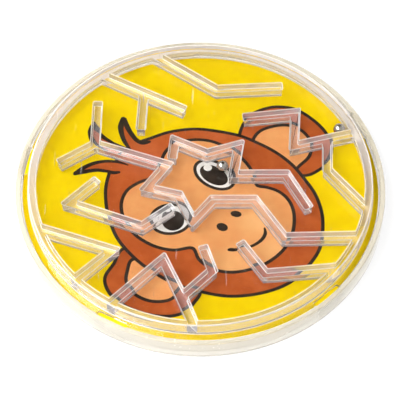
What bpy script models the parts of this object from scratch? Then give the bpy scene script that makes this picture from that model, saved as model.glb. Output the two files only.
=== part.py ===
"""Round hand-held tilt maze: a clear snap-fit cover with moulded maze walls over a printed card,
a clear backing plate, and two loose steel balls.

Built in metres, +Z up. The origin is the centre of the disc on the plane that it rests on.
All the dimensions below are in millimetres and are turned into metres by mm().
"""
import math

import bmesh
import bpy
from mathutils import Vector

# ---- driving dimensions, mm ----
OUTER_R = 30.0           # outside of the skirt
SKIRT_THICKNESS = 0.8
RIM_Z = 3.75             # top of the lip around the skirt
FLANGE_Z = (3.0, 3.4)    # thin ledge between the skirt and the maze ring
RING_R = (26.75, 27.9)   # inner and outer face of the maze's ring wall
WALL_Z = (3.0, 4.8)      # maze walls and ring wall, hanging from the cover plate
PLATE_Z = (5.0, 5.7)     # cover plate, which closes the maze from above
WALL_THICKNESS = 1.4
CARD_R = 28.9
CARD_Z = (2.5, 2.8)
BASE_Z = (1.5, 2.3)      # backing plate under the card
BASE_R = 28.9
FOOT_R = 27.9            # inner face of the backing plate's stiffening foot
FOOT_Z = 0.4             # the foot stops above the resting plane, which the skirt touches
BALL_R = 1.0

# ---- snaps: a slot through the ledge, and below it a pocket in the skirt that a lug catches in ----
WINDOW_COUNT = 5
WINDOW_PHASE = 25.5      # degrees, direction of the first window
WINDOW_WIDTH = 5.4
WINDOW_INNER_R = 28.3
LUG_WIDTH = 4.7
POCKET_R = 29.75         # the pocket leaves a thin outer wall, so the skirt looks unbroken
POCKET_Z = (0.5, 2.6)
LUG_R = 29.45
LUG_Z = (0.8, 2.3)

GAP = 0.3                # air between solids that would touch
CHAMFER = 0.15           # broken edges of the mouldings
ROUND_STEPS = 120        # facets around the turned parts
CORNER_LIMIT = 1.5       # a wall's outer corner reaches this many half-thicknesses at most

# ---- maze walls, mm: centre-lines seen from above, the first path of each is the main run ----
# A path that starts or ends past the ring wall is trimmed to the ring's inner face.
WALLS = {
    "maze_wall_tee": [[(-17.0, 21.6), (-2.6, 14.4)], [(-9.4, 17.8), (-9.8, 10.3)]],
    "maze_wall_vee": [[(-8.2, 25.7), (2.7, 18.7), (13.6, 19.3)]],
    "maze_wall_zigzag": [
        [(-17.0, 16.0), (-17.2, 7.4), (-5.5, 3.2), (-8.7, -1.4), (-3.5, -2.8), (-1.2, -7.8),
         (2.0, -3.7), (8.7, -3.7), (13.3, -11.0), (27.5, -10.2)],
        [(-17.2, 7.4), (-23.0, 3.6)]],
    "maze_wall_star": [[(-4.6, 4.4), (-4.2, 8.1), (1.1, 5.5), (6.3, 7.2), (5.4, 1.3),
                        (13.9, 1.3), (17.4, -5.4)]],
    "maze_wall_fork": [[(7.1, 12.8), (15.7, 13.8), (15.3, 7.0), (27.5, 10.1)],
                       [(20.8, 8.4), (20.6, 2.2), (27.5, -7.8)]],
    "maze_wall_hook": [[(-16.7, 0.2), (-21.2, -4.3), (-9.3, -8.9), (-4.4, -5.1)]],
    "maze_wall_wedge": [[(-28.0, -7.7), (-13.9, -13.4), (-20.5, -19.8)]],
    "maze_wall_a_frame": [[(-15.6, -24.7), (-5.9, -15.2), (-0.3, -28.0)],
                          [(-2.9, -22.2), (1.9, -17.3), (0.4, -12.7)]],
    "maze_wall_elbow": [[(6.3, -12.0), (10.2, -17.9), (24.0, -15.8)]],
}

# ---- balls, mm: where each lies in the maze ----
LANE_BALL_AT = (22.9, 11.15)      # in the lane along the ring wall
POCKET_BALL_AT = (3.6, 3.6)       # in the pocket of the star-shaped wall
BALL_LIFT = 0.05                  # air between a ball and the card

# ---- colours: base colour, roughness, metallic ----
CLEAR = ((0.86, 0.87, 0.84), 0.08, 0.0)
CLEAR_WALL = ((0.95, 0.95, 0.90), 0.08, 0.0)
CARD_YELLOW = ((0.87, 0.66, 0.01), 0.55, 0.0)
STEEL = ((0.60, 0.60, 0.58), 0.15, 1.0)


def mm(value):
    """Millimetres to metres."""
    return value * 0.001


def clear_scene():
    for old in list(bpy.data.objects):
        bpy.data.objects.remove(old, do_unlink=True)


def material(name, look, alpha=1.0):
    made = bpy.data.materials.new(name)
    made.use_nodes = True
    colour, roughness, metallic = look
    shader = made.node_tree.nodes["Principled BSDF"]
    shader.inputs["Base Color"].default_value = (*colour, 1.0)
    shader.inputs["Roughness"].default_value = roughness
    shader.inputs["Metallic"].default_value = metallic
    shader.inputs["Alpha"].default_value = alpha
    return made


def add_object(name, mesh, look):
    made = bpy.data.objects.new(name, mesh)
    bpy.context.scene.collection.objects.link(made)
    mesh.materials.append(look)
    return made


def mesh_from(shape, name, smooth_degrees=30.0):
    """Finish a bmesh: outward faces, smooth round stretches, sharp edges."""
    bmesh.ops.recalc_face_normals(shape, faces=shape.faces)
    mesh = bpy.data.meshes.new(name)
    shape.to_mesh(mesh)
    shape.free()
    mesh.shade_smooth()
    mesh.set_sharp_from_angle(angle=math.radians(smooth_degrees))
    return mesh


def turned(name, profile, look):
    """Spin a closed profile of (radius, height) points in mm about Z. Radius 0 closes on the axis."""
    shape = bmesh.new()
    points = [shape.verts.new((mm(radius), 0.0, mm(height))) for radius, height in profile]
    edges = [shape.edges.new((points[i], points[i + 1])) for i in range(len(points) - 1)]
    if profile[0][0] > 0.0:
        edges.append(shape.edges.new((points[-1], points[0])))
    bmesh.ops.spin(shape, geom=points + edges, cent=(0, 0, 0), axis=(0, 0, 1),
                   angle=2.0 * math.pi, steps=ROUND_STEPS, use_merge=True)
    bmesh.ops.remove_doubles(shape, verts=shape.verts, dist=mm(0.001))
    return add_object(name, mesh_from(shape, name), look)


def block(name, centre, size, turn_degrees, look):
    """A box in mm, turned about Z."""
    shape = bmesh.new()
    bmesh.ops.create_cube(shape, size=1.0)
    for corner in shape.verts:
        corner.co = Vector([mm(corner.co[axis] * size[axis]) for axis in range(3)])
    made = add_object(name, mesh_from(shape, name), look)
    made.location = [mm(value) for value in centre]
    made.rotation_euler.z = math.radians(turn_degrees)
    return made


def extruded(name, outline, z_span, look):
    """A prism: an outline in mm, extruded from z_span's low to its high height."""
    shape = bmesh.new()
    low, high = z_span
    face = shape.faces.new([shape.verts.new((mm(x), mm(y), mm(low))) for x, y in outline])
    grown = bmesh.ops.extrude_face_region(shape, geom=[face])["geom"]
    lifted = [item for item in grown if isinstance(item, bmesh.types.BMVert)]
    bmesh.ops.translate(shape, verts=lifted, vec=(0.0, 0.0, mm(high - low)))
    return add_object(name, mesh_from(shape, name), look)


def side_corners(before, here, after, half):
    """Outline points on the left of a path at one bend: one mitre point, or two on a sharp corner."""
    inward = (here - before).normalized()
    outward = (after - here).normalized()
    left_in = Vector((-inward.y, inward.x))
    left_out = Vector((-outward.y, outward.x))
    mitre = (left_in + left_out).normalized()
    reach = half / mitre.dot(left_in)
    turns_right = inward.cross(outward) < 0.0
    if not turns_right or reach <= CORNER_LIMIT * half:
        return [here + mitre * reach]
    # Sharp corner: cut the mitre's point off square at the limit.
    limit = CORNER_LIMIT * half
    spread = (reach - limit) * mitre.dot(left_in) / abs(mitre.cross(left_in))
    across = Vector((mitre.y, -mitre.x))
    return [here + mitre * limit - across * spread, here + mitre * limit + across * spread]


def wall_outline(path, half):
    """The outline of a wall of one thickness along a centre-line."""
    points = [Vector(point) for point in path]

    def left_side(line):
        along = (line[1] - line[0]).normalized()
        side = [line[0] + Vector((-along.y, along.x)) * half]
        for before, here, after in zip(line, line[1:], line[2:]):
            side += side_corners(before, here, after, half)
        along = (line[-1] - line[-2]).normalized()
        side.append(line[-1] + Vector((-along.y, along.x)) * half)
        return side

    return left_side(points) + left_side(points[::-1])


def boolean(target, operand, operation):
    """Apply a Boolean with one operand, then take the operand away."""
    cut = target.modifiers.new(operation.lower(), "BOOLEAN")
    cut.operation = operation
    cut.solver = "EXACT"
    cut.object = operand
    bpy.context.view_layer.update()
    seen = target.evaluated_get(bpy.context.evaluated_depsgraph_get())
    done = bpy.data.meshes.new_from_object(seen)
    target.modifiers.clear()
    target.data = done
    bpy.data.objects.remove(operand, do_unlink=True)


def window_angles():
    return [WINDOW_PHASE + 360.0 / WINDOW_COUNT * index for index in range(WINDOW_COUNT)]


def radial_block(name, radii, width, z_span, angle, look):
    """A box that reaches from one radius to another along a direction."""
    middle = (radii[0] + radii[1]) / 2.0
    direction = math.radians(angle)
    centre = (middle * math.cos(direction), middle * math.sin(direction), sum(z_span) / 2.0)
    size = (radii[1] - radii[0], width, z_span[1] - z_span[0])
    return block(name, centre, size, angle, look)


def make_cover_rim(look):
    """Skirt, ledge and ring wall of the cover: one Z-shaped section, with slots and snap pockets."""
    skirt_inner = OUTER_R - SKIRT_THICKNESS
    profile = [
        (RING_R[0], WALL_Z[0]), (RING_R[0], WALL_Z[1]), (RING_R[1], WALL_Z[1]),
        (RING_R[1], FLANGE_Z[1]), (skirt_inner, FLANGE_Z[1]), (skirt_inner, RIM_Z),
        (OUTER_R - CHAMFER, RIM_Z), (OUTER_R, RIM_Z - CHAMFER),
        (OUTER_R, CHAMFER), (OUTER_R - CHAMFER, 0.0), (skirt_inner, 0.0),
        (skirt_inner, FLANGE_Z[0]),
    ]
    rim = turned("cover_rim", profile, look)
    for angle in window_angles():
        slot = radial_block("slot", (WINDOW_INNER_R, skirt_inner + 0.1), WINDOW_WIDTH,
                            (FLANGE_Z[0] - 0.2, RIM_Z + 1.0), angle, look)
        boolean(rim, slot, "DIFFERENCE")
        pocket = radial_block("pocket", (skirt_inner - 0.5, POCKET_R), WINDOW_WIDTH, POCKET_Z, angle, look)
        boolean(rim, pocket, "DIFFERENCE")
    return rim


def make_cover_plate(look):
    """Flat clear disc that closes the maze."""
    radius = RING_R[1]
    low, high = PLATE_Z
    profile = [(0.0, low), (radius, low), (radius, high - CHAMFER), (radius - CHAMFER, high), (0.0, high)]
    return turned("cover_plate", profile, look)


def make_card(look):
    """The printed card."""
    profile = [(0.0, CARD_Z[0]), (CARD_R, CARD_Z[0]), (CARD_R, CARD_Z[1]), (0.0, CARD_Z[1])]
    return turned("picture_card", profile, look)


def make_base(look):
    """Backing plate with a stiffening foot and five lugs that sit in the skirt's pockets."""
    low, high = BASE_Z
    profile = [(0.0, low), (FOOT_R, low), (FOOT_R, FOOT_Z), (BASE_R, FOOT_Z), (BASE_R, high), (0.0, high)]
    base = turned("backing_plate", profile, look)
    overlap = 0.5
    for angle in window_angles():
        lug = radial_block("lug", (BASE_R - overlap, LUG_R), LUG_WIDTH, LUG_Z, angle, look)
        boolean(base, lug, "UNION")
    return base


def make_wall(name, paths, look):
    """One continuous maze wall: its runs united, and trimmed clear of the ring wall."""
    half = WALL_THICKNESS / 2.0
    wall = extruded(name, wall_outline(paths[0], half), WALL_Z, look)
    for path in paths[1:]:
        branch = extruded("branch", wall_outline(path, half), WALL_Z, look)
        boolean(wall, branch, "UNION")
    room = turned("room", [(0.0, 0.0), (RING_R[0] - GAP, 0.0), (RING_R[0] - GAP, PLATE_Z[1]),
                           (0.0, PLATE_Z[1])], look)
    boolean(wall, room, "INTERSECT")
    return wall


def make_ball(name, place, origin_on_axis, look):
    """A steel ball. Its origin is on its joint's axis: the disc's centre, or its own centre."""
    centre = Vector((mm(place[0]), mm(place[1]), mm(CARD_Z[1] + BALL_LIFT + BALL_R)))
    origin = Vector((0.0, 0.0, centre.z)) if origin_on_axis else centre
    shape = bmesh.new()
    bmesh.ops.create_uvsphere(shape, u_segments=32, v_segments=16, radius=mm(BALL_R))
    bmesh.ops.translate(shape, verts=shape.verts, vec=centre - origin)
    ball = add_object(name, mesh_from(shape, name, 60.0), look)
    ball.location = origin
    return ball


def main():
    clear_scene()
    clear = material("clear_styrene", CLEAR, alpha=0.35)
    clear_wall = material("clear_styrene_walls", CLEAR_WALL, alpha=0.6)
    card = material("printed_card", CARD_YELLOW)
    steel = material("steel", STEEL)
    make_base(clear)
    make_card(card)
    make_cover_rim(clear)
    make_cover_plate(clear)
    for name, paths in WALLS.items():
        make_wall(name, paths, clear_wall)
    make_ball("lane_ball", LANE_BALL_AT, True, steel)
    make_ball("pocket_ball", POCKET_BALL_AT, False, steel)


main()
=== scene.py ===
import math

import bmesh
import bpy
import numpy as np
from mathutils import Matrix, Vector
from mathutils.geometry import delaunay_2d_cdt


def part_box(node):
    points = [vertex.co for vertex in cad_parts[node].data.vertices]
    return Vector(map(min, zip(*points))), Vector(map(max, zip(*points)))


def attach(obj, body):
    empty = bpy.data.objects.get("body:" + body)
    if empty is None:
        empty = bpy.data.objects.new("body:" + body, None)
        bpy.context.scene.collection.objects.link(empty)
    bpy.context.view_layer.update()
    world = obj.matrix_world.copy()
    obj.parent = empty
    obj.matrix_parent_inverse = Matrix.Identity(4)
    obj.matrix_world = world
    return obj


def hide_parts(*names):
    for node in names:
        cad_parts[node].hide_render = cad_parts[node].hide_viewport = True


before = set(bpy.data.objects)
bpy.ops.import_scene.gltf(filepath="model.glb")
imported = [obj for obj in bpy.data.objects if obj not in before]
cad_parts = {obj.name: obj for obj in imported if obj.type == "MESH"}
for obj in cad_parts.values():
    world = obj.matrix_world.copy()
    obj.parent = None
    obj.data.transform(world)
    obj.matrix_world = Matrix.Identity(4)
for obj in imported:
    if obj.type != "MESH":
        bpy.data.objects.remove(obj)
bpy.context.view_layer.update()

# ---------------------------------------------------------------- sizes, millimetres
# The solids' own sizes come from the frame; the thin steps of the section and the snaps are repeated here.
def mm(value):
    return value * 0.001


def node_box(node):
    """Lowest and highest corner of a CAD node, in millimetres."""
    low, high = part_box(node)
    return low * 1000.0, high * 1000.0


OUTER_R = node_box("cover_rim")[1].x
SKIRT_THICKNESS = 0.8
RIM_Z = 3.75
FLANGE_Z = (3.0, 3.4)
RING_OUTER_R = node_box("cover_plate")[1].x
RING_THICKNESS = 1.15
RING_INNER_R = RING_OUTER_R - RING_THICKNESS
WALL_LOW = node_box("maze_wall_vee")[0].z
PLATE_LOW = node_box("cover_plate")[0].z
PLATE_HIGH = node_box("cover_plate")[1].z
CARD_R = node_box("picture_card")[1].x
CARD_LOW = node_box("picture_card")[0].z
CARD_HIGH = node_box("picture_card")[1].z
BASE_LOW = 1.5
BASE_HIGH = node_box("backing_plate")[1].z
BASE_R = CARD_R
FOOT_Z = node_box("backing_plate")[0].z
FOOT_THICKNESS = 1.0
# A snap is a slot through the ledge, and a pocket in the skirt that a lug of the backing plate catches in.
SNAP_COUNT = 5
SNAP_PHASE = 25.5        # degrees, direction of the first snap
SNAP_WIDTH = 5.4
SLOT_INNER_R = 28.3
POCKET_R = 29.75
POCKET_Z = (0.5, 2.6)
LUG_R = 29.45
LUG_LOW = 0.8
LUG_WIDTH = 4.7

TURN_STEPS = 300
EDGE_R = 0.12            # rounding of the mouldings' edges
ROOT_R = 0.18            # fillet where a maze wall grows out of the plate
WALL_CORNER_R = 0.22     # rounding of a maze wall's corners seen from above
WALL_DRAFT = 0.05        # a maze wall's side leans in by this much from plate to free edge


# ---------------------------------------------------------------- node helpers
class Shader:
    """Short ways to add and join the nodes of one material."""

    def __init__(self, name):
        self.material = bpy.data.materials.new(name)
        self.material.use_nodes = True
        self.tree = self.material.node_tree
        self.principled = self.tree.nodes["Principled BSDF"]
        self.place = self.add("ShaderNodeTexCoord").outputs["Object"]

    def add(self, kind, **settings):
        node = self.tree.nodes.new(kind)
        for key, value in settings.items():
            setattr(node, key, value)
        return node

    def join(self, source, target):
        self.tree.links.new(source, target)

    def set(self, **values):
        for key, value in values.items():
            self.principled.inputs[key.replace("_", " ")].default_value = value

    def noise(self, scale, detail=2.0, roughness=0.5, stretch=None):
        """Noise over the object; scale is in features per millimetre."""
        node = self.add("ShaderNodeTexNoise")
        node.inputs["Scale"].default_value = scale * 1000.0
        node.inputs["Detail"].default_value = detail
        node.inputs["Roughness"].default_value = roughness
        place = self.place
        if stretch:
            mapping = self.add("ShaderNodeMapping")
            mapping.inputs["Rotation"].default_value = (0.0, 0.0, math.radians(stretch[1]))
            mapping.inputs["Scale"].default_value = (1.0, stretch[0], 1.0)
            self.join(place, mapping.inputs["Vector"])
            place = mapping.outputs["Vector"]
        self.join(place, node.inputs["Vector"])
        return node.outputs["Fac"]

    def remap(self, value, low, high, to_low, to_high):
        node = self.add("ShaderNodeMapRange")
        node.inputs["From Min"].default_value = low
        node.inputs["From Max"].default_value = high
        node.inputs["To Min"].default_value = to_low
        node.inputs["To Max"].default_value = to_high
        self.join(value, node.inputs["Value"])
        return node.outputs["Result"]

    def mix(self, factor, first, second):
        """Colour mix; first and second are colours or sockets."""
        node = self.add("ShaderNodeMix", data_type="RGBA")
        self.join(factor, node.inputs["Factor"])
        for given, socket in ((first, node.inputs["A"]), (second, node.inputs["B"])):
            if isinstance(given, bpy.types.NodeSocket):
                self.join(given, socket)
            else:
                socket.default_value = (*given, 1.0)
        return node.outputs["Result"]

    def math(self, operation, first, second):
        node = self.add("ShaderNodeMath", operation=operation)
        for given, socket in ((first, node.inputs[0]), (second, node.inputs[1])):
            if isinstance(given, bpy.types.NodeSocket):
                self.join(given, socket)
            else:
                socket.default_value = given
        return node.outputs["Value"]

    def glow(self, centre, radius):
        """1 at a point of the card (mm), falling smoothly to 0 at a radius."""
        node = self.add("ShaderNodeVectorMath", operation="DISTANCE")
        self.join(self.place, node.inputs[0])
        node.inputs[1].default_value = (mm(centre[0]), mm(centre[1]), mm(CARD_HIGH))
        fade = self.add("ShaderNodeMapRange", interpolation_type="SMOOTHSTEP")
        fade.inputs["From Min"].default_value = 0.0
        fade.inputs["From Max"].default_value = mm(radius)
        fade.inputs["To Min"].default_value = 1.0
        fade.inputs["To Max"].default_value = 0.0
        self.join(node.outputs["Value"], fade.inputs["Value"])
        return fade.outputs["Result"]

    def bump(self, height, depth_mm, strength=1.0):
        node = self.add("ShaderNodeBump")
        node.inputs["Strength"].default_value = strength
        node.inputs["Distance"].default_value = mm(depth_mm)
        self.join(height, node.inputs["Height"])
        self.join(node.outputs["Normal"], self.principled.inputs["Normal"])


def srgb(red, green, blue):
    """Linear colour of an sRGB one given in 0..255."""
    def linear(value):
        value /= 255.0
        return value / 12.92 if value <= 0.04045 else ((value + 0.055) / 1.055) ** 2.4
    return tuple(linear(value) for value in (red, green, blue))


# ---------------------------------------------------------------- materials
STYRENE_IOR = 1.59
SHADOW_PASS = 0.3        # share of the light that a shadow ray keeps at each clear surface
SCRATCH_MILK = 0.18      # clarity lost where there is a scratch
PAINTED_SHEEN_FROM_Y = -16.0  # a look's front clarity holds up to here; its back clarity, made milkier as a painted sheen of light, from the next
PAINTED_SHEEN_FULL_Y = 6.0


def clear_styrene(name, tint, haze, clarity=1.0, painted_sheen_back_clarity=None, ripple=0.15, within=None):
    """Clear polystyrene: slight haze, hairline scratches, and shadows that let some light through.

    Clarity below 1 is a moulded face left slightly matt by its tool, which looks milky. A different clarity
    at the back of the part is painted sheen: the back is made milkier to show the white band that light gives
    there. The clarity may stop at a radius."""
    s = Shader(name)
    s.set(IOR=STYRENE_IOR, Transmission_Weight=clarity)
    cloud = s.noise(0.12, 3.0)
    fine = s.noise(1.6, 4.0, 0.6, stretch=(0.07, 32.0))
    scratch = s.remap(fine, 0.675, 0.72, 0.0, 1.0)
    other = s.noise(1.4, 4.0, 0.6, stretch=(0.07, -51.0))
    scratch = s.math("MAXIMUM", scratch, s.remap(other, 0.685, 0.725, 0.0, 1.0))
    rough = s.math("ADD", s.remap(cloud, 0.3, 0.7, 0.0, haze), s.math("MULTIPLY", scratch, 0.12))
    s.join(rough, s.principled.inputs["Roughness"])
    s.join(s.mix(cloud, tint, tuple(min(1.0, c * 1.02) for c in tint)), s.principled.inputs["Base Color"])
    across = s.add("ShaderNodeSeparateXYZ")
    s.join(s.place, across.inputs["Vector"])
    back = clarity if painted_sheen_back_clarity is None else painted_sheen_back_clarity
    clarity_with_painted_sheen = s.remap(across.outputs["Y"], mm(PAINTED_SHEEN_FROM_Y), mm(PAINTED_SHEEN_FULL_Y), clarity, back)
    if within:
        level = s.add("ShaderNodeVectorMath", operation="MULTIPLY")
        level.inputs[1].default_value = (1.0, 1.0, 0.0)
        s.join(s.place, level.inputs[0])
        out = s.add("ShaderNodeVectorMath", operation="LENGTH")
        s.join(level.outputs["Vector"], out.inputs[0])
        beyond = s.remap(out.outputs["Value"], mm(within - 0.1), mm(within + 0.1), 0.0, 1.0)
        clarity_with_painted_sheen = s.math("MAXIMUM", clarity_with_painted_sheen, beyond)
    s.join(s.math("SUBTRACT", clarity_with_painted_sheen, s.math("MULTIPLY", scratch, SCRATCH_MILK)),
           s.principled.inputs["Transmission Weight"])
    s.bump(s.noise(0.18 if ripple < 0.2 else 0.7, 1.0), 0.01, ripple)
    # Shadow rays pass, slightly dimmed, so that the card under the cover is lit.
    path = s.add("ShaderNodeLightPath")
    clear = s.add("ShaderNodeBsdfTransparent")
    clear.inputs["Color"].default_value = (SHADOW_PASS, SHADOW_PASS, SHADOW_PASS, 1.0)
    choose = s.add("ShaderNodeMixShader")
    s.join(path.outputs["Is Shadow Ray"], choose.inputs["Fac"])
    s.join(s.principled.outputs["BSDF"], choose.inputs[1])
    s.join(clear.outputs["BSDF"], choose.inputs[2])
    s.join(choose.outputs["Shader"], s.tree.nodes["Material Output"].inputs["Surface"])
    return s.material


def ink(name, colour, darker, glows=(), glow_colour=(1.0, 1.0, 1.0)):
    """Printed ink on coated card: fine mottling, soft airbrushed lights, satin varnish."""
    s = Shader(name)
    mottle = s.remap(s.noise(0.5, 5.0, 0.6), 0.35, 0.65, 0.0, 1.0)
    tone = s.mix(mottle, colour, darker)
    for centre, radius, strength in glows:
        tone = s.mix(s.math("MULTIPLY", s.glow(centre, radius), strength), tone, glow_colour)
    s.join(tone, s.principled.inputs["Base Color"])
    s.join(s.remap(s.noise(2.0, 3.0), 0.3, 0.7, 0.42, 0.56), s.principled.inputs["Roughness"])
    s.set(Specular_IOR_Level=0.05, Coat_Weight=0.35, Coat_Roughness=0.1)
    s.bump(s.noise(9.0, 3.0), 0.004, 0.3)
    return s.material


def board():
    """The card's bare back and cut edge."""
    s = Shader("card_board")
    fibre = s.noise(1.2, 5.0, 0.65, stretch=(0.35, 12.0))
    s.join(s.mix(fibre, srgb(226, 221, 208), srgb(247, 244, 235)), s.principled.inputs["Base Color"])
    s.join(s.remap(fibre, 0.3, 0.7, 0.75, 0.92), s.principled.inputs["Roughness"])
    s.bump(fibre, 0.02, 0.5)
    return s.material


def steel():
    s = Shader("ball_steel")
    s.set(Metallic=1.0)
    marks = s.noise(3.0, 4.0, 0.6)
    s.join(s.mix(marks, srgb(178, 176, 172), srgb(214, 212, 208)), s.principled.inputs["Base Color"])
    s.join(s.remap(marks, 0.35, 0.65, 0.05, 0.16), s.principled.inputs["Roughness"])
    s.bump(s.noise(14.0, 3.0), 0.003, 0.3)
    return s.material


# ---------------------------------------------------------------- mesh helpers
def add_piece(name, mesh, *materials):
    piece = bpy.data.objects.new(name, mesh)
    bpy.context.scene.collection.objects.link(piece)
    for given in materials:
        mesh.materials.append(given)
    return piece


def shade(mesh, sharp_degrees=12.0):
    """Smooth curved stretches; level faces stay exactly flat, so that light goes straight through them."""
    mesh.shade_smooth()
    mesh.set_sharp_from_angle(angle=math.radians(sharp_degrees))
    level = [abs(face.normal.z) > 0.9999 for face in mesh.polygons]
    mesh.polygons.foreach_set("use_smooth", [not flat for flat in level])


def finish_mesh(shape, name, sharp_degrees=12.0):
    bmesh.ops.recalc_face_normals(shape, faces=shape.faces)
    mesh = bpy.data.meshes.new(name)
    shape.to_mesh(mesh)
    shape.free()
    shade(mesh, sharp_degrees)
    return mesh


def arc(centre, radius, start, end, steps=4):
    """Points of an arc in a plane, from one angle in degrees to another."""
    angles = [math.radians(start + (end - start) * i / steps) for i in range(steps + 1)]
    return [(centre[0] + radius * math.cos(a), centre[1] + radius * math.sin(a)) for a in angles]


def rounded(corners, steps=4):
    """A closed outline with its corners rounded. Each corner is (x, y, radius)."""
    points = []
    count = len(corners)
    for i in range(count):
        before, here, after = (Vector(corners[(i + k) % count][:2]) for k in (-1, 0, 1))
        radius = corners[i][2]
        to_before, to_after = (before - here), (after - here)
        half_turn = to_before.angle(to_after) / 2.0
        if radius <= 0.0 or half_turn > math.radians(88.0):
            points.append(tuple(here))
            continue
        reach = min(radius / math.tan(half_turn), 0.45 * to_before.length, 0.45 * to_after.length)
        start, end = here + to_before.normalized() * reach, here + to_after.normalized() * reach
        for k in range(steps + 1):
            t = k / steps
            curve = start * (1 - t) ** 2 + here * 2 * t * (1 - t) + end * t ** 2
            points.append(tuple(curve))
    return points


def turned(profile, steps=TURN_STEPS):
    """A bmesh spun about Z from a closed (radius, height) profile in mm."""
    shape = bmesh.new()
    points = [shape.verts.new((mm(r), 0.0, mm(z))) for r, z in profile]
    on_axis = profile[0][0] == 0.0
    edges = [shape.edges.new((points[i], points[i + 1])) for i in range(len(points) - 1)]
    if not on_axis:
        edges.append(shape.edges.new((points[-1], points[0])))
    bmesh.ops.spin(shape, geom=points + edges, cent=(0, 0, 0), axis=(0, 0, 1),
                   angle=2 * math.pi, steps=steps, use_merge=True)
    bmesh.ops.remove_doubles(shape, verts=shape.verts, dist=mm(0.0005))
    return shape


def prism(rings):
    """A closed bmesh from stacked outlines: each ring is (points, height), all with as many points."""
    shape = bmesh.new()
    loops = [[shape.verts.new((mm(x), mm(y), mm(z))) for x, y in points] for points, z in rings]
    count = len(loops[0])
    for low, high in zip(loops, loops[1:]):
        for i in range(count):
            j = (i + 1) % count
            shape.faces.new((low[i], low[j], high[j], high[i]))
    shape.faces.new(loops[0][::-1])
    shape.faces.new(loops[-1])
    return shape


def boolean(target, operand, operation):
    cut = target.modifiers.new(operation.lower(), "BOOLEAN")
    cut.operation = operation
    cut.solver = "MANIFOLD"
    cut.object = operand
    bpy.context.view_layer.update()
    seen = target.evaluated_get(bpy.context.evaluated_depsgraph_get())
    done = bpy.data.meshes.new_from_object(seen)
    target.modifiers.clear()
    target.data = done
    bpy.data.objects.remove(operand, do_unlink=True)


def around_snaps():
    """Directions of the snaps around the disc, in radians."""
    return [math.radians(SNAP_PHASE + 360.0 / SNAP_COUNT * i) for i in range(SNAP_COUNT)]


def placed_radially(shape, name, angle):
    """A block modelled along +X, turned to a direction, as an object."""
    bmesh.ops.rotate(shape, verts=shape.verts, cent=(0, 0, 0), matrix=Matrix.Rotation(angle, 3, "Z"))
    return add_piece(name, finish_mesh(shape, name))


# ---------------------------------------------------------------- maze walls from the frame
def wall_outlines(node):
    """The outlines of a CAD maze wall's free edge, as lists of (x, y) in mm."""
    shape = bmesh.new()
    shape.from_mesh(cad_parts[node].data)
    bmesh.ops.remove_doubles(shape, verts=shape.verts, dist=mm(0.002))
    bottom = mm(WALL_LOW + 0.01)
    upper = [f for f in shape.faces if f.calc_center_median().z > bottom]
    bmesh.ops.delete(shape, geom=upper, context="FACES")
    bmesh.ops.dissolve_faces(shape, faces=shape.faces)
    outlines = []
    for face in shape.faces:
        points = [Vector((v.co.x, v.co.y)) * 1000.0 for v in face.verts]
        if face.normal.z < 0.0:
            points.reverse()
        outlines.append(points)
    shape.free()
    return outlines


def reach_ring(points):
    """Ends that stop short of the ring wall are drawn out into it."""
    near = RING_INNER_R - 0.45
    inside = (RING_INNER_R + RING_OUTER_R) / 2.0
    return [p * (inside / p.length) if p.length > near else p for p in points]


def without_flat_corners(points, least_degrees=4.0):
    kept = []
    for before, here, after in zip(points[-1:] + points[:-1], points, points[1:] + points[:1]):
        if (here - before).length < 1e-3:
            continue
        if (here - before).angle(after - here, 0.0) > math.radians(least_degrees):
            kept.append(here)
    return kept


def offset(points, distance):
    """The outline moved outward (mitred). Outlines run anticlockwise."""
    moved = []
    count = len(points)
    for i in range(count):
        before, here, after = (Vector(points[(i + k) % count]) for k in (-1, 0, 1))
        first, second = (here - before).normalized(), (after - here).normalized()
        normal = Vector((first.y + second.y, -first.x - second.x)).normalized()
        stretch = max(0.35, normal.dot(Vector((first.y, -first.x))))
        moved.append(here + normal * (distance / stretch))
    return moved


def wall_shape(outline):
    """A maze wall: rounded free edge, slight draft, fillet into the plate."""
    corners = [(p.x, p.y, WALL_CORNER_R) for p in outline]
    plan = [Vector(p) for p in rounded(corners)]
    rings = []
    for r, z in arc((-EDGE_R, WALL_LOW + EDGE_R), EDGE_R, -90, 0):
        rings.append((offset(plan, r - WALL_DRAFT), z))
    root = PLATE_LOW - ROOT_R
    for r, z in arc((ROOT_R, root), ROOT_R, 180, 96, 5):
        rings.append((offset(plan, r), z))
    rings.append((offset(plan, ROOT_R), PLATE_LOW + 0.25))
    return prism(rings)


# ---------------------------------------------------------------- the clear cover
def cover_profile():
    """Section of the cover: plate, ring wall, ledge and skirt in one Z-shaped run."""
    skirt_inner = OUTER_R - SKIRT_THICKNESS
    corners = [
        (0.0, PLATE_LOW, 0.0),
        (RING_INNER_R, PLATE_LOW, ROOT_R),
        (RING_INNER_R, FLANGE_Z[0], EDGE_R),
        (skirt_inner, FLANGE_Z[0], ROOT_R),
        (skirt_inner, 0.0, EDGE_R),
        (OUTER_R, 0.0, EDGE_R),
        (OUTER_R, RIM_Z, 0.22),
        (skirt_inner, RIM_Z, 0.22),
        (skirt_inner, FLANGE_Z[1], 0.08),
        (RING_OUTER_R, FLANGE_Z[1], ROOT_R),
        (RING_OUTER_R, PLATE_HIGH, 0.25),
        (0.0, PLATE_HIGH, 0.0),
    ]
    return rounded(corners)


def slot_cutter(radii, heights, corner):
    """A block between two radii, its inner corners rounded."""
    half = SNAP_WIDTH / 2.0
    plan = rounded([(radii[0], -half, corner), (radii[1], -half, 0.1),
                    (radii[1], half, 0.1), (radii[0], half, corner)])
    return prism([(plan, heights[0]), (plan, heights[1])])


PLATE, WALL_SIDE, WALL_EDGE, WALL_FOOT, RING_SIDE, RING_EDGE, RING_FOOT, SKIRT, LIP_PAINTED_YELLOW = range(9)


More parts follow.
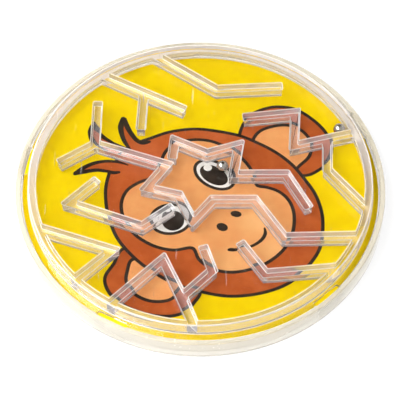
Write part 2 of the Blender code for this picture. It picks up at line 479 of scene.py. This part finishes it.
def cover_look(face):
    """Which of the cover's looks a face of it has."""
    out, steep = math.hypot(face.center.x, face.center.y) * 1000.0, abs(face.normal.z)
    if out > OUTER_R - SKIRT_THICKNESS - 0.1:
        # The lip's faces get a yellow tint that is painted light: yellow from the card, carried up the skirt
        # to its rim.
        return LIP_PAINTED_YELLOW if face.center.z > mm(RIM_Z - 0.3) else SKIRT
    if steep > 0.999:
        if face.center.z > mm(FLANGE_Z[0] + 0.05):
            return PLATE
        return RING_FOOT if out > RING_INNER_R - 0.3 else WALL_FOOT
    if out > RING_OUTER_R - 0.3:
        return RING_EDGE if steep > 0.25 else RING_SIDE
    return WALL_EDGE if steep > 0.25 else WALL_SIDE


def make_cover(looks):
    cover = add_piece("clear_cover", finish_mesh(turned(cover_profile()), "clear_cover"))
    for angle in around_snaps():
        skirt_inner = OUTER_R - SKIRT_THICKNESS
        for name, radii, heights, corner in (
                ("slot", (SLOT_INNER_R, skirt_inner + 0.1), (FLANGE_Z[0] - 0.2, RIM_Z + 1.0), 0.5),
                ("pocket", (skirt_inner - 0.5, POCKET_R), POCKET_Z, 0.1)):
            boolean(cover, placed_radially(slot_cutter(radii, heights, corner), name, angle), "DIFFERENCE")
    walls = sorted(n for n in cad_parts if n.startswith("maze_wall_"))
    for node in walls:
        for outline in wall_outlines(node):
            outline = without_flat_corners(reach_ring(outline))
            wall = add_piece("wall", finish_mesh(wall_shape(outline), "wall"))
            boolean(cover, wall, "UNION")
    shade(cover.data)
    cover.data.materials.clear()
    for part in sorted(looks):
        cover.data.materials.append(looks[part])
    for face in cover.data.polygons:
        face.material_index = cover_look(face)
    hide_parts("cover_rim", "cover_plate", *walls)
    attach(cover, "case")
    return cover


# ---------------------------------------------------------------- the backing plate
def lug_shape():
    """A snap lug: it sits in a pocket of the skirt, with a nose chamfered on its way in."""
    half = LUG_WIDTH / 2.0
    plan = rounded([(BASE_R - 0.5, -half, 0.0), (LUG_R, -half, 0.3), (LUG_R, half, 0.3),
                    (BASE_R - 0.5, half, 0.0)])
    low = offset([Vector(p) for p in plan], -0.2)
    return prism([(low, LUG_LOW), (plan, LUG_LOW + 0.3), (plan, BASE_HIGH - 0.1),
                  (offset([Vector(p) for p in plan], -0.08), BASE_HIGH)])


def make_base(*looks):
    """Looks are those of level faces and of edges."""
    foot_inner = BASE_R - FOOT_THICKNESS
    profile = rounded([
        (0.0, BASE_LOW, 0.0), (foot_inner, BASE_LOW, ROOT_R), (foot_inner, FOOT_Z, EDGE_R),
        (BASE_R, FOOT_Z, 0.25), (BASE_R, BASE_HIGH, EDGE_R), (0.0, BASE_HIGH, 0.0)])
    base = add_piece("clear_backing_plate", finish_mesh(turned(profile), "clear_backing_plate"))
    for angle in around_snaps():
        boolean(base, placed_radially(lug_shape(), "lug", angle), "UNION")
    shade(base.data)
    base.data.materials.clear()
    for look in looks:
        base.data.materials.append(look)
    for face in base.data.polygons:
        beyond = math.hypot(face.center.x, face.center.y) > mm(BASE_R)
        face.material_index = int(beyond or abs(face.normal.z) < 0.999)
    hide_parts("backing_plate")
    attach(base, "case")
    return base


# ---------------------------------------------------------------- artwork on the card, mm
def smooth(points, closed=False, steps=6):
    """A Catmull-Rom curve through points."""
    knots = [Vector(p) for p in points]
    if closed:
        knots = [knots[-1]] + knots + knots[:2]
    else:
        knots = [knots[0] * 2 - knots[1]] + knots + [knots[-1] * 2 - knots[-2]]
    curve = []
    for a, b, c, d in zip(knots, knots[1:], knots[2:], knots[3:]):
        for k in range(steps):
            t = k / steps
            curve.append(0.5 * (2 * b + (c - a) * t + (2 * a - 5 * b + 4 * c - d) * t ** 2
                                + (3 * b - a - 3 * c + d) * t ** 3))
    if not closed:
        curve.append(knots[-2])
    return curve


def anticlockwise(points):
    area = sum(a.x * b.y - a.y * b.x for a, b in zip(points, points[1:] + points[:1]))
    return points if area > 0 else points[::-1]


def ellipse(x, y, wide, high, tilt=0.0, count=40):
    turn = Matrix.Rotation(math.radians(tilt), 2)
    ring = [Vector((wide / 2 * math.cos(a), high / 2 * math.sin(a)))
            for a in np.linspace(0, 2 * math.pi, count, endpoint=False)]
    return [turn @ p + Vector((x, y)) for p in ring]


def stroke(points, widths):
    """A brush line along points, its width changing evenly through the given widths."""
    line = smooth(points)
    spots = np.linspace(0, len(widths) - 1, len(line))
    half = np.interp(spots, range(len(widths)), widths) / 2.0
    left, right = [], []
    for i, here in enumerate(line):
        along = (line[min(i + 1, len(line) - 1)] - line[max(i - 1, 0)]).normalized()
        side = Vector((-along.y, along.x)) * half[i]
        left.append(here + side)
        right.append(here - side)
    along = (line[-1] - line[-2]).normalized()
    tip = line[-1] + along * half[-1] * 0.7
    along = (line[0] - line[1]).normalized()
    tail = line[0] + along * half[0] * 0.7
    return anticlockwise([tail] + right + [tip] + left[::-1])


LINE = 0.58              # width of the drawn outlines

HEAD = [(-10.1, 9.3), (-8.0, 10.2), (-5.0, 11.4), (-1.0, 12.0), (3.0, 11.5), (6.5, 10.6), (9.5, 9.1),
        (12.4, 7.2), (15.0, 4.7), (17.1, 1.6), (18.7, -1.4), (19.6, -5.0), (19.6, -8.4), (19.1, -11.6),
        (17.4, -14.7), (14.3, -18.1), (10.0, -20.1), (5.0, -20.8), (0.6, -20.1), (-4.0, -18.5),
        (-8.2, -15.7), (-11.0, -13.0), (-13.4, -9.6), (-14.9, -5.2), (-15.4, -1.0), (-15.1, 2.0),
        (-14.3, 4.6), (-12.8, 6.9), (-11.6, 8.3)]
UPPER_EAR = [(6.6, 9.6), (6.9, 12.4), (8.4, 14.9), (11.0, 16.3), (13.4, 16.6), (16.0, 16.0), (18.7, 13.9),
             (20.7, 11.3), (21.6, 8.4), (21.0, 5.4), (19.2, 3.5), (17.0, 2.5), (13.0, 3.0), (9.0, 6.0)]
UPPER_EAR_INSIDE = [(8.6, 8.6), (9.2, 10.8), (11.0, 12.2), (14.2, 12.8), (16.7, 11.7), (18.2, 9.4),
                    (18.0, 6.7), (16.6, 4.9), (14.6, 3.6), (10.0, 6.0)]
LOWER_EAR = [(-12.2, -11.8), (-13.8, -14.8), (-15.1, -17.4), (-14.3, -20.2), (-11.8, -22.6), (-8.4, -24.1),
             (-5.0, -24.5), (-2.6, -23.8), (-1.0, -22.0), (-0.2, -19.6), (-4.0, -16.0), (-8.0, -13.0)]
LOWER_EAR_INSIDE = [(-10.5, -13.8), (-11.6, -16.2), (-11.6, -18.4), (-10.2, -20.5), (-7.8, -21.7),
                    (-5.2, -21.6), (-3.8, -20.5), (-3.2, -18.6), (-6.0, -16.0)]
MASK = [(-6.4, 5.6), (-5.5, 7.7), (-3.6, 9.2), (-0.8, 9.8), (2.0, 9.4), (4.6, 8.0), (6.8, 6.0), (8.3, 3.7),
        (8.8, 1.8), (9.3, 0.5), (11.0, 0.1), (12.9, -0.8), (14.4, -2.6), (15.1, -5.2), (14.8, -8.6),
        (13.4, -11.8), (10.9, -14.3), (7.8, -15.8), (4.6, -16.3), (1.8, -15.6), (-0.2, -13.9),
        (-1.3, -11.7), (-4.2, -12.1), (-7.4, -11.3), (-10.4, -9.2), (-12.2, -6.4), (-12.8, -3.2),
        (-12.0, -0.6), (-10.2, 1.0), (-8.2, 2.0), (-6.9, 3.6)]
HAIR_FRONT = [(-12.8, 14.4), (-13.3, 12.6), (-13.0, 10.4), (-12.3, 8.8), (-11.4, 7.4), (-9.6, 8.6),
              (-10.4, 9.6), (-11.3, 10.9), (-12.0, 12.6)]
HAIR_BACK = [(-17.9, 12.9), (-18.3, 11.2), (-17.9, 9.4), (-16.6, 7.6), (-14.2, 6.2), (-11.6, 7.6),
             (-13.8, 8.7), (-15.4, 9.8), (-16.6, 11.2)]
HAIR_LOW = [(-20.6, 2.9), (-19.2, 4.0), (-17.4, 5.0), (-15.4, 5.4), (-13.4, 5.2), (-11.6, 4.4),
            (-13.6, 3.1), (-15.6, 3.6), (-18.0, 3.5)]


def drawn(ink_name, points, line=LINE):
    """A shape with a black outline along its edge, as layers from the bottom up."""
    edge = anticlockwise(smooth(points, closed=True))
    return [("black", offset(edge, line / 2.0)), (ink_name, offset(edge, -line / 2.0))]


def eye(x, y, wide, high, tilt, pupil, glint):
    return [("black", ellipse(x, y, wide, high, tilt)),
            ("white", ellipse(x, y, wide - 1.1, high - 1.1, tilt)),
            ("black", ellipse(*pupil)),
            ("white", ellipse(*glint))]


def artwork():
    """Layers of ink on the card, from the bottom up: (ink, outline)."""
    layers = []
    layers += drawn("brown", UPPER_EAR) + drawn("tan", UPPER_EAR_INSIDE)
    layers += drawn("brown", LOWER_EAR) + drawn("tan", LOWER_EAR_INSIDE)
    layers += drawn("brown", HEAD)
    layers += [("brown", anticlockwise(smooth(shape, closed=True)))
               for shape in (HAIR_BACK, HAIR_FRONT, HAIR_LOW)]
    layers += [
        ("black", stroke([(-17.9, 12.8), (-18.2, 11.4), (-17.9, 9.6), (-16.9, 8.0), (-15.2, 6.8)],
                         [0.7, 0.9, 0.7, 0.5, 0.3])),
        ("black", stroke([(-17.8, 12.7), (-17.1, 11.4), (-15.9, 10.2), (-14.2, 9.0), (-12.0, 8.0)],
                         [0.7, 1.0, 0.7, 0.5, 0.3])),
        ("black", stroke([(-12.8, 14.3), (-13.2, 12.5), (-12.9, 10.5), (-12.3, 9.0), (-11.5, 7.7)],
                         [0.8, 1.0, 0.8, 0.7, 0.4])),
        ("black", stroke([(-12.7, 14.2), (-12.1, 12.4), (-11.3, 10.8), (-10.4, 9.6), (-9.4, 9.15),
                          (-8.3, 9.4)],
                         [0.8, 0.9, 0.8, 0.8, 0.8, 0.5])),
        ("black", stroke([(-20.6, 2.9), (-19.2, 4.0), (-17.4, 5.0), (-15.4, 5.4), (-13.4, 5.2), (-11.8, 4.6)],
                         [0.6, 0.8, 0.7, 0.6, 0.5, 0.25])),
        ("black", stroke([(-20.6, 2.8), (-18.8, 3.3), (-17.0, 3.6), (-15.4, 3.4), (-14.2, 3.1), (-13.2, 3.2)],
                         [0.6, 0.8, 0.7, 0.6, 0.7, 0.5])),
    ]
    layers += drawn("tan", MASK)
    layers += eye(2.3, 2.7, 7.8, 5.3, -38.0, (2.2, 2.6, 5.2, 3.3, -38.0), (1.2, 4.1, 1.4, 1.3))
    layers += eye(-4.8, -6.1, 7.1, 6.2, 10.0, (-4.4, -6.4, 3.6, 3.9, 0.0), (-5.3, -4.9, 1.0, 0.9))
    layers += [
        ("black", ellipse(5.75, -5.1, 1.8, 1.2, -12.0)),
        ("black", ellipse(3.5, -7.65, 1.9, 1.5, -28.0)),
        ("black", stroke([(10.3, -7.8), (10.4, -8.9), (9.8, -10.1), (8.6, -11.1), (7.0, -11.8), (5.0, -12.1)],
                         [0.3, 0.6, 0.6, 0.5, 0.5, 0.6])),
        ("black", ellipse(4.9, -12.0, 1.2, 0.65, 5.0)),
    ]
    return layers


INKS = ("yellow", "brown", "tan", "black", "white")


def make_card():
    """The card: its printed face is cut into ink regions, each with that ink's material."""
    outline = ellipse(0.0, 0.0, 2 * CARD_R, 2 * CARD_R, count=240)
    layers = [("yellow", outline)] + artwork()
    points, faces = [], []
    for _, shape in layers:
        faces.append(list(range(len(points), len(points) + len(shape))))
        points += [Vector(p) for p in shape]
    found = delaunay_2d_cdt(points, [], faces, 1, 1e-4)
    spots, triangles, sources = found[0], found[2], found[5]
    shape = bmesh.new()
    verts = [shape.verts.new((mm(p.x), mm(p.y), mm(CARD_HIGH))) for p in spots]
    for triangle, source in zip(triangles, sources):
        if not source:
            continue
        face = shape.faces.new([verts[i] for i in triangle])
        face.material_index = INKS.index(layers[max(source)][0])
    loose = [v for v in shape.verts if not v.link_faces]
    bmesh.ops.delete(shape, geom=loose, context="VERTS")
    rim = [e for e in shape.edges if e.is_boundary]
    grown = bmesh.ops.extrude_edge_only(shape, edges=rim)["geom"]
    low = [v for v in grown if isinstance(v, bmesh.types.BMVert)]
    bmesh.ops.translate(shape, verts=low, vec=(0, 0, mm(CARD_LOW - CARD_HIGH)))
    sides = {f for f in grown if isinstance(f, bmesh.types.BMFace)}
    bottom = bmesh.ops.contextual_create(
        shape, geom=[e for e in grown if isinstance(e, bmesh.types.BMEdge)])["faces"]
    for face in list(sides) + list(bottom):
        face.material_index = len(INKS)
    mesh = finish_mesh(shape, "printed_picture_card", 30.0)
    brown, brown_dark = srgb(196, 98, 46), srgb(182, 86, 38)
    tan, tan_dark = srgb(243, 172, 108), srgb(236, 160, 98)
    card = add_piece(
        "printed_picture_card", mesh,
        ink("ink_yellow", srgb(250, 218, 0), srgb(244, 209, 0)),
        ink("ink_brown", brown, brown_dark,
            [((-9.5, 6.5), 6.0, 0.35), ((3.0, 11.0), 6.0, 0.25)], srgb(226, 122, 78)),
        ink("ink_tan", tan, tan_dark,
            [((9.0, -6.5), 5.0, 0.5), ((11.5, -12.0), 4.0, 0.4), ((5.0, -14.6), 4.5, 0.35)],
            srgb(255, 205, 140)),
        ink("ink_black", srgb(50, 42, 36), srgb(60, 50, 42)),
        ink("ink_white", srgb(246, 244, 240), srgb(236, 233, 228)),
        board())
    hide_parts("picture_card")
    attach(card, "case")
    return card


# ---------------------------------------------------------------- balls
def make_ball(node, look):
    low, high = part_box(node)
    centre, radius = (low + high) / 2.0, (high.z - low.z) / 2.0
    shape = bmesh.new()
    bmesh.ops.create_icosphere(shape, subdivisions=5, radius=radius)
    ball = add_piece("steel_" + node, finish_mesh(shape, node, 60.0), look)
    ball.location = centre
    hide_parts(node)
    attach(ball, node)
    return ball


# ---------------------------------------------------------------- studio
SWEEP_LIGHT = 1.0
CEILING_LIGHT = 0.68
SOFTBOX_SIZE = (0.85, 0.5)
SOFTBOX_LIGHT = 7.7
SOFTBOX_AZIMUTH = 192.0
SOFTBOX_ELEVATION = 56.0
SOFTBOX_DISTANCE = 0.8
FLOOR_GLOW = 0.82
FLOOR_Z = -0.02          # mm, just under the skirt's foot
OPENING_DIRECTION = (0.0, 0.577, 0.8165)


def make_floor():
    shape = bmesh.new()
    bmesh.ops.create_grid(shape, x_segments=1, y_segments=1, size=1.5)
    floor = add_piece("floor", finish_mesh(shape, "floor"))
    floor.location.z = mm(FLOOR_Z)
    s = Shader("floor_white")
    s.set(Base_Color=(0.2, 0.2, 0.2, 1.0), Roughness=0.9, Emission_Color=(1.0, 1.0, 1.0, 1.0),
          Emission_Strength=FLOOR_GLOW)
    floor.data.materials.append(s.material)


def softbox(name, azimuth, elevation, distance, size, radiance):
    """A soft light that looks at the object from a direction, with an even brightness over its face."""
    data = bpy.data.lights.new(name, "AREA")
    data.shape = "RECTANGLE"
    data.size, data.size_y = size
    data.energy = radiance * math.pi * size[0] * size[1]
    light = bpy.data.objects.new(name, data)
    bpy.context.scene.collection.objects.link(light)
    around, up = math.radians(azimuth), math.radians(elevation)
    towards = Vector((math.cos(around) * math.cos(up), math.sin(around) * math.cos(up), math.sin(up)))
    light.location = towards * distance
    light.rotation_mode = "QUATERNION"
    light.rotation_quaternion = towards.to_track_quat("Z", "Y")


def make_world():
    """A white sweep around the table, dimmer overhead, with a dark opening high up at the back."""
    world = bpy.data.worlds.new("studio")
    world.use_nodes = True
    tree = world.node_tree

    def add(kind, **settings):
        node = tree.nodes.new(kind)
        for key, value in settings.items():
            setattr(node, key, value)
        return node

    direction = add("ShaderNodeTexCoord").outputs["Generated"]
    height = add("ShaderNodeSeparateXYZ")
    tree.links.new(direction, height.inputs["Vector"])
    sweep = add("ShaderNodeMapRange")
    for name, value in (("From Min", 0.2), ("From Max", 0.6),
                        ("To Min", SWEEP_LIGHT), ("To Max", CEILING_LIGHT)):
        sweep.inputs[name].default_value = value
    tree.links.new(height.outputs["Z"], sweep.inputs["Value"])
    beside = add("ShaderNodeVectorMath", operation="DOT_PRODUCT")
    beside.inputs[1].default_value = OPENING_DIRECTION
    tree.links.new(direction, beside.inputs[0])
    opening = add("ShaderNodeMapRange")
    for name, value in (("From Min", 0.8), ("From Max", 0.93), ("To Min", 1.0), ("To Max", 0.02)):
        opening.inputs[name].default_value = value
    tree.links.new(beside.outputs["Value"], opening.inputs["Value"])
    level = add("ShaderNodeMath", operation="MULTIPLY")
    tree.links.new(sweep.outputs["Result"], level.inputs[0])
    tree.links.new(opening.outputs["Result"], level.inputs[1])
    tree.links.new(level.outputs["Value"], tree.nodes["Background"].inputs["Strength"])
    tree.nodes["Background"].inputs["Color"].default_value = (1.0, 1.0, 1.0, 1.0)
    bpy.context.scene.world = world


def make_studio():
    make_world()
    softbox("softbox_left", SOFTBOX_AZIMUTH, SOFTBOX_ELEVATION, SOFTBOX_DISTANCE, SOFTBOX_SIZE, SOFTBOX_LIGHT)
    scene = bpy.context.scene
    scene.view_settings.view_transform = "Standard"
    scene.view_settings.look = "None"
    scene.cycles.max_bounces = 24
    scene.cycles.transmission_bounces = 24
    scene.cycles.transparent_max_bounces = 16


CAMERA_ELEVATION = 54.73
CAMERA_DISTANCE = 360.0
CAMERA_TARGET_Z = 3.0
LENS = 199.3
LENS_SHIFT = (-0.001, -0.0287)


def make_camera():
    data = bpy.data.cameras.new("camera")
    data.lens = LENS
    data.sensor_width = 36.0
    data.clip_start, data.clip_end = 0.01, 10.0
    data.shift_x, data.shift_y = LENS_SHIFT
    camera = bpy.data.objects.new("camera", data)
    bpy.context.scene.collection.objects.link(camera)
    up = math.radians(CAMERA_ELEVATION)
    back = Vector((0.0, -math.cos(up), math.sin(up)))
    camera.location = Vector((0, 0, mm(CAMERA_TARGET_Z))) + back * mm(CAMERA_DISTANCE)
    camera.rotation_mode = "QUATERNION"
    camera.rotation_quaternion = (-back).to_track_quat("-Z", "Y")
    bpy.context.scene.camera = camera


make_camera()
make_studio()
make_floor()
make_cover({
    PLATE: clear_styrene("clear_cover_styrene", (0.99, 0.985, 0.97), 0.02),
    WALL_SIDE: clear_styrene("cover_wall_sides", (0.98, 0.95, 0.96), 0.05, clarity=0.81, ripple=0.5),
    WALL_EDGE: clear_styrene("cover_wall_edges", (0.99, 0.97, 0.95), 0.1, clarity=0.4),
    WALL_FOOT: clear_styrene("cover_wall_feet", (0.97, 0.94, 0.97), 0.05, clarity=0.8),
    # The ring's lower back clarity is painted sheen: its back is made milky white to show a band of light, up
    # to a radius on the foot.
    RING_SIDE: clear_styrene("cover_ring_sides", (0.97, 0.94, 0.97), 0.06, clarity=0.88, painted_sheen_back_clarity=0.4),
    RING_EDGE: clear_styrene("cover_ring_edges", (0.97, 0.94, 0.92), 0.1, clarity=0.68, painted_sheen_back_clarity=0.4),
    RING_FOOT: clear_styrene("cover_ring_foot", (0.97, 0.94, 0.97), 0.05, clarity=0.97, painted_sheen_back_clarity=0.3,
                             within=27.95),
    SKIRT: clear_styrene("cover_skirt", (0.95, 0.91, 0.82), 0.12, clarity=0.7),
    # The lip's yellow tint is painted light, standing in for the card's yellow caught in the rim.
    LIP_PAINTED_YELLOW: clear_styrene("cover_lip_painted_card_light", (0.92, 0.85, 0.68), 0.1, clarity=0.7)})
make_base(clear_styrene("clear_back_styrene", (0.97, 0.965, 0.95), 0.06),
          clear_styrene("backing_plate_edges", (0.98, 0.94, 0.86), 0.12, clarity=0.7))
make_card()
ball_look = steel()
make_ball("lane_ball", ball_look)
make_ball("pocket_ball", ball_look)
